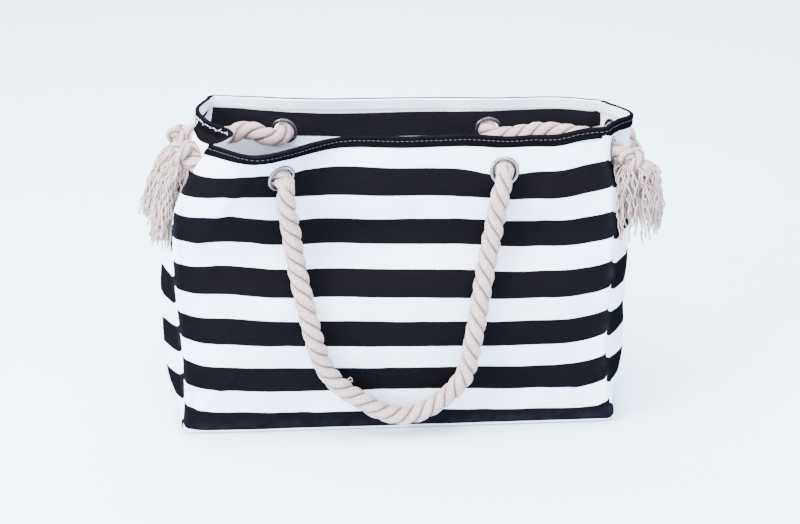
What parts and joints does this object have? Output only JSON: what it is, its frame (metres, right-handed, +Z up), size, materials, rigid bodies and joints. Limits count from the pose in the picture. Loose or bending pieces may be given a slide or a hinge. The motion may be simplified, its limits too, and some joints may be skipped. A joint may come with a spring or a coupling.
{
  "type": "beach bag",
  "caption": "Striped canvas tote with rope handles that swing, run through metal eyelets and end in knots with tassels.",
  "frame": {"origin": "middle of the underside of the base, on the floor", "axes": "+Z up, +X to the bag's right along its width, -Y out of its front"},
  "size_m": [0.5158, 0.1998, 0.308],
  "materials": {
    "canvas": "plain woven, black and white stripes",
    "tape": "woven tape",
    "label": "blank satin",
    "nickel": "polished nickel",
    "rope": "twisted cotton"
  },
  "bodies": {
    "bag": {"front_panel": "canvas", "back_panel": "canvas", "left_gusset": "canvas", "right_gusset": "canvas", "base_panel": "canvas", "rim_tape": "tape", "inner_label": "label", "front_left_handle_eyelet": "nickel", "front_left_handle_washer": "nickel", "front_left_gusset_eyelet": "nickel", "front_left_gusset_washer": "nickel", "front_right_handle_eyelet": "nickel", "front_right_handle_washer": "nickel", "front_right_gusset_eyelet": "nickel", "front_right_gusset_washer": "nickel", "back_right_handle_eyelet": "nickel", "back_right_handle_washer": "nickel", "back_right_gusset_eyelet": "nickel", "back_right_gusset_washer": "nickel", "back_left_handle_eyelet": "nickel", "back_left_handle_washer": "nickel", "back_left_gusset_eyelet": "nickel", "back_left_gusset_washer": "nickel", "front_left_rope_run": "rope", "front_right_rope_run": "rope", "back_right_rope_run": "rope", "back_left_rope_run": "rope", "front_left_knot": "rope", "front_right_knot": "rope", "back_right_knot": "rope", "back_left_knot": "rope"},
    "front_handle": {"front_handle": "rope"},
    "back_handle": {"back_handle": "rope"},
    "front_left_tassel": {"front_left_tassel": "rope"},
    "front_right_tassel": {"front_right_tassel": "rope"},
    "back_right_tassel": {"back_right_tassel": "rope"},
    "back_left_tassel": {"back_left_tassel": "rope"}
  },
  "joints": [
    {"name": "front_handle_swing", "type": "hinge", "parent": "bag", "child": "front_handle", "pos_m": [-0.10453, -0.08231, 0.26415], "axis": [-0.9968, -0.0789, -0.0086], "range_deg": [0, 150]},
    {"name": "back_handle_swing", "type": "hinge", "parent": "bag", "child": "back_handle", "pos_m": [-0.10538, 0.07082, 0.27369], "axis": [0.9989, -0.0469, 0.0065], "range_deg": [0, 160]},
    {"name": "front_left_tassel_swing", "type": "hinge", "parent": "bag", "child": "front_left_tassel", "pos_m": [-0.19777, -0.03923, 0.28076], "axis": [0, 1, 0], "range_deg": [0, 55]},
    {"name": "front_right_tassel_swing", "type": "hinge", "parent": "bag", "child": "front_right_tassel", "pos_m": [0.21799, -0.04463, 0.26875], "axis": [0, -1, 0], "range_deg": [0, 70]},
    {"name": "back_right_tassel_swing", "type": "hinge", "parent": "bag", "child": "back_right_tassel", "pos_m": [0.23128, 0.03648, 0.25275], "axis": [0, -1, 0], "range_deg": [0, 70]},
    {"name": "back_left_tassel_swing", "type": "hinge", "parent": "bag", "child": "back_left_tassel", "pos_m": [-0.20961, 0.05247, 0.26819], "axis": [0, 1, 0], "range_deg": [0, 60]}
  ]
}
